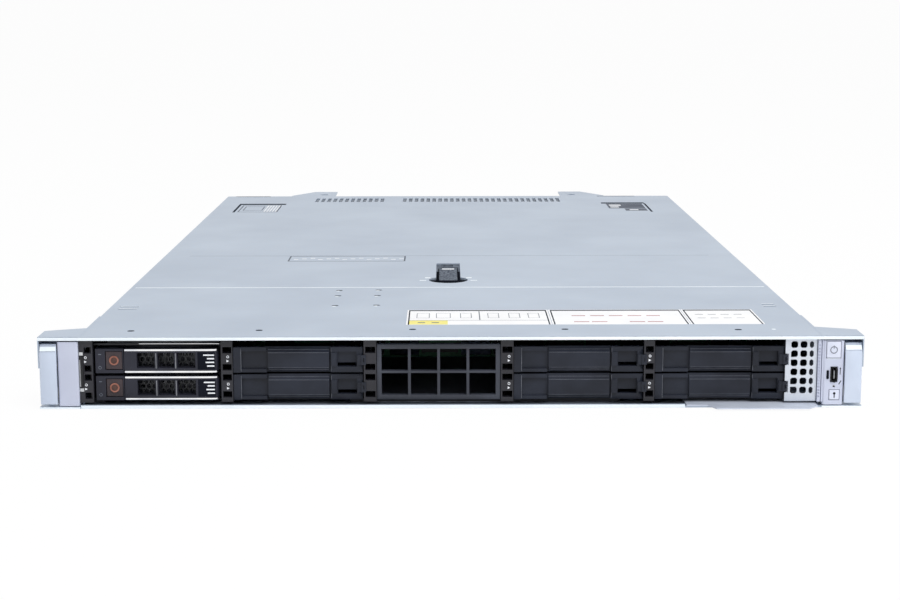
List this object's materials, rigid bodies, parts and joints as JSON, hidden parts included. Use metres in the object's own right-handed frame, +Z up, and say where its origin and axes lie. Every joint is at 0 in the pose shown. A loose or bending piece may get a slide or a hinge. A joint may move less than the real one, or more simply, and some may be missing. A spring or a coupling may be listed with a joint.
{
  "type": "rack server",
  "caption": "Slim rack server: sheet-steel chassis with small-drive bays behind blanks and carriers, rack ears with latches, sliding cover, fans and rear power supplies.",
  "frame": {"origin": "centre of the footprint, on the underside of the chassis", "axes": "+X to the right seen from the front, +Y to the back, +Z up; the front faces -Y"},
  "size_m": [0.482, 0.7804, 0.0428],
  "materials": {
    "galvanised_steel": "zinc-coated sheet, satin",
    "zinc_bracket": "nickel-plated steel, satin",
    "latch_plastic": "moulded, fine texture",
    "cage_paint": "dark grey coating, matt",
    "green_board": "circuit board, solder mask",
    "memory_board": "circuit board, solder mask",
    "connector_plastic": "moulded",
    "carrier_steel": "dark grey, matt",
    "drive_case": "die-cast, satin",
    "handle_metal": "dark grey with bright edges",
    "button_plastic": "moulded, with a copper-coloured ring",
    "blank_plastic": "moulded, fine texture",
    "ear_plastic": "silver-grey moulding",
    "lever_plastic": "silver-grey moulding",
    "key_plastic": "silver-grey moulding",
    "light_pipe": "clear moulding",
    "tag_plastic": "grey moulding",
    "fan_plastic": "moulded",
    "rotor_plastic": "moulded",
    "sink_aluminium": "extruded",
    "shroud_plastic": "moulded",
    "supply_case": "zinc-coated case",
    "supply_latch_plastic": "terracotta moulding",
    "stud_steel": "turned steel"
  },
  "bodies": {
    "chassis": {"chassis_tray": "galvanised_steel", "rear_wall": "galvanised_steel", "front_top_panel": "galvanised_steel", "front_vent_panel": "galvanised_steel", "left_ear_bracket": "galvanised_steel", "right_ear_bracket": "galvanised_steel", "slot_fillers": "galvanised_steel", "fan_wall": "galvanised_steel", "network_card": "zinc_bracket", "usb_c_port": "zinc_bracket", "rear_ports": "zinc_bracket", "drive_cage": "cage_paint", "left_light_column": "cage_paint", "drive_backplane": "green_board", "system_board": "green_board", "riser_card": "green_board", "memory_modules": "memory_board", "drive_connectors": "connector_plastic", "memory_sockets": "connector_plastic", "processor_sockets": "connector_plastic", "left_control_panel": "ear_plastic", "right_control_panel": "ear_plastic", "light_pipes": "light_pipe", "fan_housings": "fan_plastic", "heat_sinks": "sink_aluminium", "air_shroud": "shroud_plastic", "rail_studs": "stud_steel"},
    "cover": {"top_cover": "galvanised_steel", "cover_latch_housing": "latch_plastic"},
    "latch": {"cover_latch": "latch_plastic"},
    "left_lever": {"left_latch_lever": "lever_plastic"},
    "right_lever": {"right_latch_lever": "lever_plastic"},
    "power_key": {"power_button": "key_plastic"},
    "id_key": {"id_button": "key_plastic"},
    "tag": {"information_tag": "tag_plastic"},
    "carrier_1": {"carrier_1_frame": "carrier_steel", "drive_1": "drive_case"},
    "handle_1": {"carrier_1_handle": "handle_metal"},
    "release_1": {"carrier_1_button": "button_plastic"},
    "carrier_2": {"carrier_2_frame": "carrier_steel", "drive_2": "drive_case"},
    "handle_2": {"carrier_2_handle": "handle_metal"},
    "release_2": {"carrier_2_button": "button_plastic"},
    "blank_b_lower": {"drive_blank_b_lower": "blank_plastic"},
    "blank_b_upper": {"drive_blank_b_upper": "blank_plastic"},
    "blank_d_lower": {"drive_blank_d_lower": "blank_plastic"},
    "blank_d_upper": {"drive_blank_d_upper": "blank_plastic"},
    "blank_e_lower": {"drive_blank_e_lower": "blank_plastic"},
    "blank_e_upper": {"drive_blank_e_upper": "blank_plastic"},
    "middle_blank": {"centre_blank": "blank_plastic"},
    "supply_1": {"power_supply_1": "supply_case"},
    "supply_release_1": {"supply_latch_1": "supply_latch_plastic"},
    "supply_2": {"power_supply_2": "supply_case"},
    "supply_release_2": {"supply_latch_2": "supply_latch_plastic"},
    "rotor_1": {"fan_rotor_1": "rotor_plastic"},
    "rotor_2": {"fan_rotor_2": "rotor_plastic"},
    "rotor_3": {"fan_rotor_3": "rotor_plastic"},
    "rotor_4": {"fan_rotor_4": "rotor_plastic"},
    "rotor_5": {"fan_rotor_5": "rotor_plastic"},
    "rotor_6": {"fan_rotor_6": "rotor_plastic"}
  },
  "joints": [
    {"name": "cover_slide", "type": "slide", "parent": "chassis", "child": "cover", "axis": [0, 1, 0], "range_m": [0, 0.012]},
    {"name": "latch_lift", "type": "hinge", "parent": "cover", "child": "latch", "pos_m": [-0.001, -0.11675, 0.0401], "axis": [-1, 0, 0], "range_deg": [0, 80]},
    {"name": "left_lever_pull", "type": "hinge", "parent": "chassis", "child": "left_lever", "pos_m": [-0.235, -0.37475, 0.0355], "axis": [-1, 0, 0], "range_deg": [0, 60]},
    {"name": "right_lever_pull", "type": "hinge", "parent": "chassis", "child": "right_lever", "pos_m": [0.235, -0.37475, 0.0355], "axis": [-1, 0, 0], "range_deg": [0, 60]},
    {"name": "power_press", "type": "slide", "parent": "chassis", "child": "power_key", "axis": [0, 1, 0], "range_m": [0, 0.0008], "stiffness_N_per_m": 400},
    {"name": "id_press", "type": "slide", "parent": "chassis", "child": "id_key", "axis": [0, 1, 0], "range_m": [0, 0.0008], "stiffness_N_per_m": 400},
    {"name": "tag_pull", "type": "slide", "parent": "chassis", "child": "tag", "axis": [0, -1, 0], "range_m": [0, 0.06]},
    {"name": "carrier_1_slide", "type": "slide", "parent": "chassis", "child": "carrier_1", "axis": [0, -1, 0], "range_m": [0, 0.12]},
    {"name": "handle_1_swing", "type": "hinge", "parent": "carrier_1", "child": "handle_1", "pos_m": [-0.1393, -0.37375, 0.01145], "axis": [0, 0, 1], "range_deg": [0, 60]},
    {"name": "release_1_press", "type": "slide", "parent": "carrier_1", "child": "release_1", "axis": [0, 1, 0], "range_m": [0, 0.0015], "stiffness_N_per_m": 300},
    {"name": "carrier_2_slide", "type": "slide", "parent": "chassis", "child": "carrier_2", "axis": [0, -1, 0], "range_m": [0, 0.12]},
    {"name": "handle_2_swing", "type": "hinge", "parent": "carrier_2", "child": "handle_2", "pos_m": [-0.1393, -0.37375, 0.02775], "axis": [0, 0, 1], "range_deg": [0, 60]},
    {"name": "release_2_press", "type": "slide", "parent": "carrier_2", "child": "release_2", "axis": [0, 1, 0], "range_m": [0, 0.0015], "stiffness_N_per_m": 300},
    {"name": "blank_b_lower_slide", "type": "slide", "parent": "chassis", "child": "blank_b_lower", "axis": [0, -1, 0], "range_m": [0, 0.05]},
    {"name": "blank_b_upper_slide", "type": "slide", "parent": "chassis", "child": "blank_b_upper", "axis": [0, -1, 0], "range_m": [0, 0.05]},
    {"name": "blank_d_lower_slide", "type": "slide", "parent": "chassis", "child": "blank_d_lower", "axis": [0, -1, 0], "range_m": [0, 0.05]},
    {"name": "blank_d_upper_slide", "type": "slide", "parent": "chassis", "child": "blank_d_upper", "axis": [0, -1, 0], "range_m": [0, 0.05]},
    {"name": "blank_e_lower_slide", "type": "slide", "parent": "chassis", "child": "blank_e_lower", "axis": [0, -1, 0], "range_m": [0, 0.05]},
    {"name": "blank_e_upper_slide", "type": "slide", "parent": "chassis", "child": "blank_e_upper", "axis": [0, -1, 0], "range_m": [0, 0.05]},
    {"name": "middle_blank_slide", "type": "slide", "parent": "chassis", "child": "middle_blank", "axis": [0, -1, 0], "range_m": [0, 0.05]},
    {"name": "supply_1_slide", "type": "slide", "parent": "chassis", "child": "supply_1", "axis": [0, 1, 0], "range_m": [0, 0.18]},
    {"name": "supply_1_release", "type": "hinge", "parent": "supply_1", "child": "supply_release_1", "pos_m": [-0.2095, 0.31125, 0.0212], "axis": [0, 0, -1], "range_deg": [0, 4], "stiffness_Nm_per_rad": 1},
    {"name": "supply_2_slide", "type": "slide", "parent": "chassis", "child": "supply_2", "axis": [0, 1, 0], "range_m": [0, 0.18]},
    {"name": "supply_2_release", "type": "hinge", "parent": "supply_2", "child": "supply_release_2", "pos_m": [0.1585, 0.31125, 0.0212], "axis": [0, 0, -1], "range_deg": [0, 4], "stiffness_Nm_per_rad": 1},
    {"name": "fan_1_spin", "type": "hinge", "parent": "chassis", "child": "rotor_1", "pos_m": [-0.048, -0.18875, 0.021], "axis": [0, 1, 0], "continuous": true},
    {"name": "fan_2_spin", "type": "hinge", "parent": "chassis", "child": "rotor_2", "pos_m": [-0.11, -0.18875, 0.021], "axis": [0, 1, 0], "continuous": true},
    {"name": "fan_3_spin", "type": "hinge", "parent": "chassis", "child": "rotor_3", "pos_m": [-0.172, -0.18875, 0.021], "axis": [0, 1, 0], "continuous": true},
    {"name": "fan_4_spin", "type": "hinge", "parent": "chassis", "child": "rotor_4", "pos_m": [0.048, -0.18875, 0.021], "axis": [0, 1, 0], "continuous": true},
    {"name": "fan_5_spin", "type": "hinge", "parent": "chassis", "child": "rotor_5", "pos_m": [0.11, -0.18875, 0.021], "axis": [0, 1, 0], "continuous": true},
    {"name": "fan_6_spin", "type": "hinge", "parent": "chassis", "child": "rotor_6", "pos_m": [0.172, -0.18875, 0.021], "axis": [0, 1, 0], "continuous": true}
  ],
  "couplings": [
    {"joint": "latch_lift", "follows": "cover_slide", "rad_per_m": 116}
  ]
}
